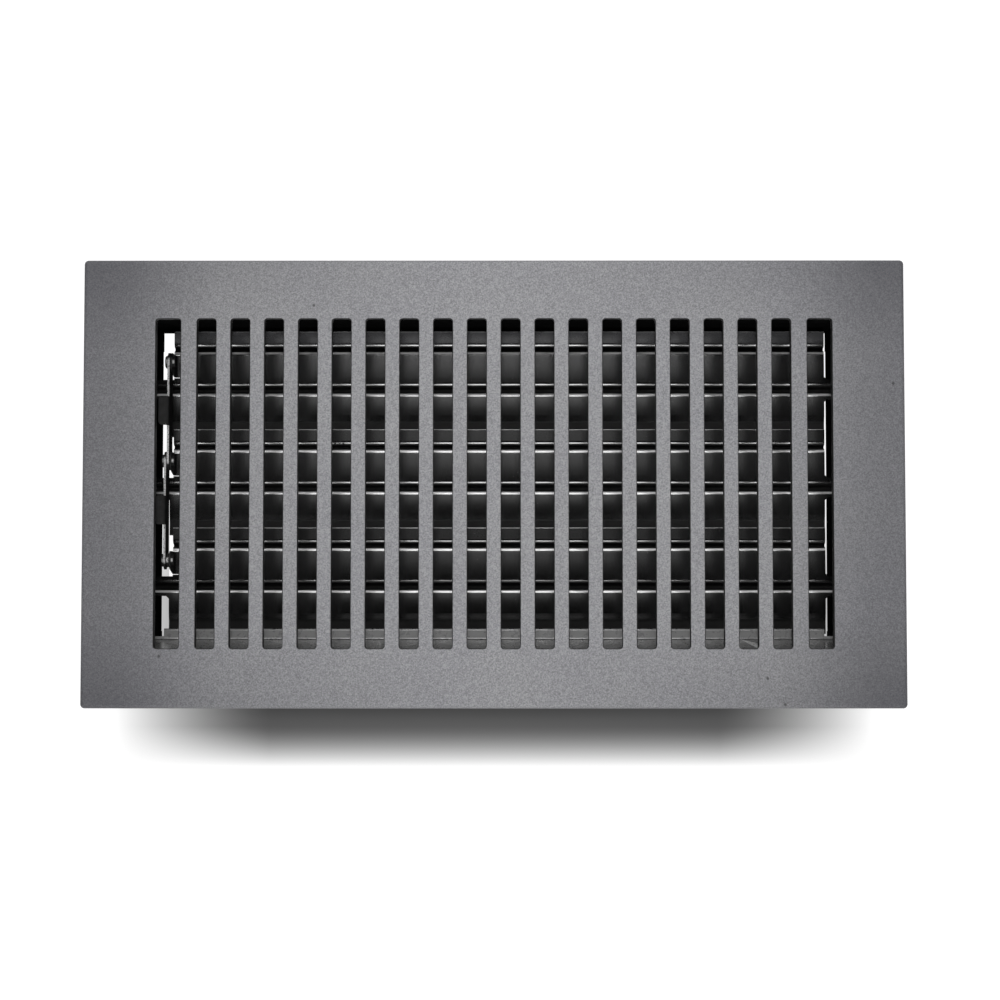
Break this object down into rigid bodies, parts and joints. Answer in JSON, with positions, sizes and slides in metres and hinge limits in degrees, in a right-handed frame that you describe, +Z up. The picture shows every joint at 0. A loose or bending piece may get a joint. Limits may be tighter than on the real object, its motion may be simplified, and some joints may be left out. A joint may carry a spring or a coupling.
{
  "type": "floor register",
  "caption": "Rectangular slotted cast floor register over a sheet-metal damper box, with linked louvre blades that tip open together by finger tabs in the end slot.",
  "frame": {"origin": "middle of the face plate on the floor plane, where the underside of its rim rests", "axes": "+X along the plate away from the control slot, +Y across it towards the side whose wall stands upright, +Z up out of the floor"},
  "size_m": [0.3492, 0.1906, 0.0548],
  "materials": {
    "cast_face": "fine sand-cast texture under a satin grey coat",
    "damper_black": "satin black enamel on folded sheet",
    "fastener_steel": "dull plated steel"
  },
  "bodies": {
    "frame": {"faceplate": "cast_face", "front_rail": "damper_black", "rear_rail": "damper_black", "left_end_plate": "damper_black", "right_end_plate": "damper_black", "frame_screws": "fastener_steel"},
    "middle_blade": {"middle_blade": "damper_black", "middle_link_rivet": "damper_black"},
    "rear_blade": {"rear_blade": "damper_black", "rear_link_rivet": "damper_black"},
    "front_blade": {"front_blade": "damper_black", "front_link_rivet": "damper_black", "front_link_spacer": "damper_black"},
    "rear_link": {"rear_link": "damper_black"},
    "front_link": {"front_link": "damper_black"}
  },
  "joints": [
    {"name": "middle_blade_turn", "type": "hinge", "parent": "frame", "child": "middle_blade", "pos_m": [0, 0, -0.0265], "axis": [1, 0, 0], "range_deg": [0, 85]},
    {"name": "rear_blade_turn", "type": "hinge", "parent": "frame", "child": "rear_blade", "pos_m": [0, 0.043, -0.0265], "axis": [1, 0, 0], "range_deg": [0, 85]},
    {"name": "front_blade_turn", "type": "hinge", "parent": "frame", "child": "front_blade", "pos_m": [0, -0.043, -0.0265], "axis": [1, 0, 0], "range_deg": [0, 85]},
    {"name": "rear_link_swing", "type": "hinge", "parent": "middle_blade", "child": "rear_link", "pos_m": [-0.1401, 0.011, -0.0155], "axis": [1, 0, 0], "range_deg": [-85, 0]},
    {"name": "front_link_swing", "type": "hinge", "parent": "middle_blade", "child": "front_link", "pos_m": [-0.1413, 0.011, -0.0155], "axis": [1, 0, 0], "range_deg": [-85, 0]}
  ],
  "couplings": [
    {"joint": "rear_blade_turn", "follows": "middle_blade_turn", "ratio": 1},
    {"joint": "front_blade_turn", "follows": "middle_blade_turn", "ratio": 1},
    {"joint": "rear_link_swing", "follows": "middle_blade_turn", "ratio": -1},
    {"joint": "front_link_swing", "follows": "middle_blade_turn", "ratio": -1}
  ]
}
